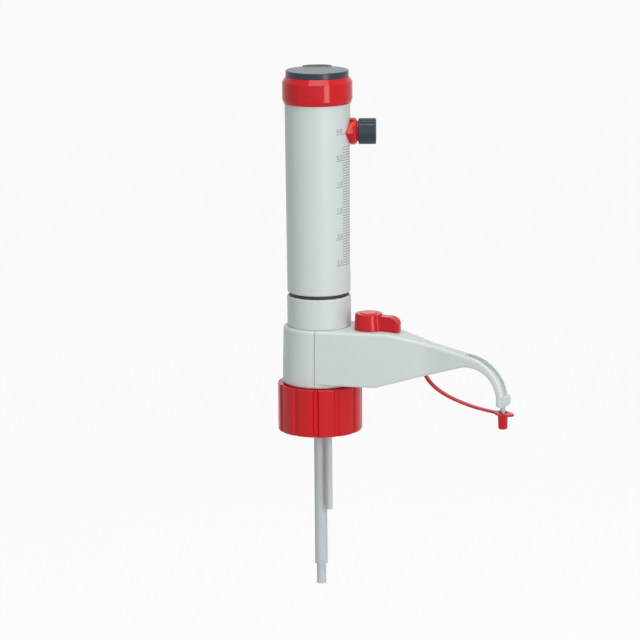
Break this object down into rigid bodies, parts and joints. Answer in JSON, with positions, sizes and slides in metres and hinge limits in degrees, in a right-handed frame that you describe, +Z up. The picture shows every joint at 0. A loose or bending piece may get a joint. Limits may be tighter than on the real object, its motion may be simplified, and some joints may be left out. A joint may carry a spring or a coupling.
{
  "type": "bottle-top dispenser",
  "caption": "Bottle-top dispenser: lifting sleeve with volume pointer and clamp knob, curved spout with a capped tip, recirculation lever and screw collar for a bottle neck.",
  "frame": {"origin": "centre of the seat on the bottle's rim, on the piston's axis", "axes": "+Z up along the piston's axis, +X along the spout"},
  "size_m": [0.1575, 0.0524, 0.3258],
  "materials": {
    "red_plastic": "glossy moulded red",
    "grey_plastic": "satin cool light grey",
    "slate_plastic": "satin blue-grey slate",
    "black_rubber": "matt",
    "white_fluoropolymer": "waxy natural white",
    "clear_tube": "milky translucent",
    "barrel_glass": "clear borosilicate",
    "steel": "turned",
    "ceramic": "polished ceramic"
  },
  "bodies": {
    "collar": {"bottle_collar": "red_plastic"},
    "head": {"valve_block": "white_fluoropolymer", "rim_seal": "white_fluoropolymer", "rear_cover": "grey_plastic", "spout_cover": "grey_plastic", "head_ring": "grey_plastic", "bump_ring": "black_rubber", "guide_tube": "grey_plastic", "glass_barrel": "barrel_glass", "barrel_seal": "white_fluoropolymer", "barrel_bush": "grey_plastic", "inlet_valve_body": "white_fluoropolymer", "inlet_gasket": "black_rubber", "outlet_seat": "white_fluoropolymer", "outlet_plug": "grey_plastic", "discharge_tube": "clear_tube", "tube_nut": "grey_plastic", "cap_strap": "red_plastic", "filling_tube": "clear_tube", "recirculation_tube": "clear_tube"},
    "plunger": {"outer_sleeve": "grey_plastic", "plunger_ring": "red_plastic", "end_plate": "grey_plastic", "piston": "white_fluoropolymer", "piston_rod": "steel"},
    "cap": {"top_cap": "slate_plastic"},
    "nut": {"calibration_nut": "grey_plastic"},
    "carriage": {"volume_pointer": "red_plastic", "slide_nut": "grey_plastic"},
    "knob": {"volume_knob": "slate_plastic", "clamp_screw": "steel"},
    "lever": {"recirculation_lever": "red_plastic", "valve_plug": "white_fluoropolymer", "plug_seal": "black_rubber"},
    "tip_cap": {"nozzle_cap": "red_plastic"},
    "lower_ball": {"inlet_ball": "ceramic"},
    "upper_ball": {"outlet_ball": "ceramic"},
    "intake": {"intake_extension": "clear_tube"}
  },
  "joints": [
    {"name": "head_swivel", "type": "hinge", "parent": "collar", "child": "head", "pos_m": [0, 0, 0.005], "axis": [0, 0, 1], "continuous": true},
    {"name": "plunger_lift", "type": "slide", "parent": "head", "child": "plunger", "axis": [0, 0, 1], "range_m": [0, 0.0812]},
    {"name": "volume_set", "type": "slide", "parent": "plunger", "child": "carriage", "axis": [0, 0, 1], "range_m": [-0.0812, 0]},
    {"name": "knob_turn", "type": "hinge", "parent": "carriage", "child": "knob", "pos_m": [0, 0, 0.1622], "axis": [0.9063, 0.4226, 0], "range_deg": [0, 180]},
    {"name": "cap_lift", "type": "slide", "parent": "plunger", "child": "cap", "axis": [0, 0, 1], "range_m": [0, 0.012]},
    {"name": "calibration_turn", "type": "hinge", "parent": "plunger", "child": "nut", "pos_m": [0, 0, 0.194], "axis": [0, 0, 1], "range_deg": [-180, 180]},
    {"name": "lever_turn", "type": "hinge", "parent": "head", "child": "lever", "pos_m": [0.0342, 0, 0.0416], "axis": [0, 0, 1], "range_deg": [-90, 0]},
    {"name": "tip_cap_pull", "type": "slide", "parent": "head", "child": "tip_cap", "axis": [0, 0, -1], "range_m": [0, 0.012], "deforming": ["cap_strap"]},
    {"name": "inlet_ball_rise", "type": "slide", "parent": "head", "child": "lower_ball", "axis": [0, 0, 1], "range_m": [0, 0.0012]},
    {"name": "outlet_ball_rise", "type": "slide", "parent": "head", "child": "upper_ball", "axis": [0, 0, 1], "range_m": [0, 0.001]},
    {"name": "intake_extend", "type": "slide", "parent": "head", "child": "intake", "axis": [0, 0, -1], "range_m": [0, 0.075]}
  ]
}
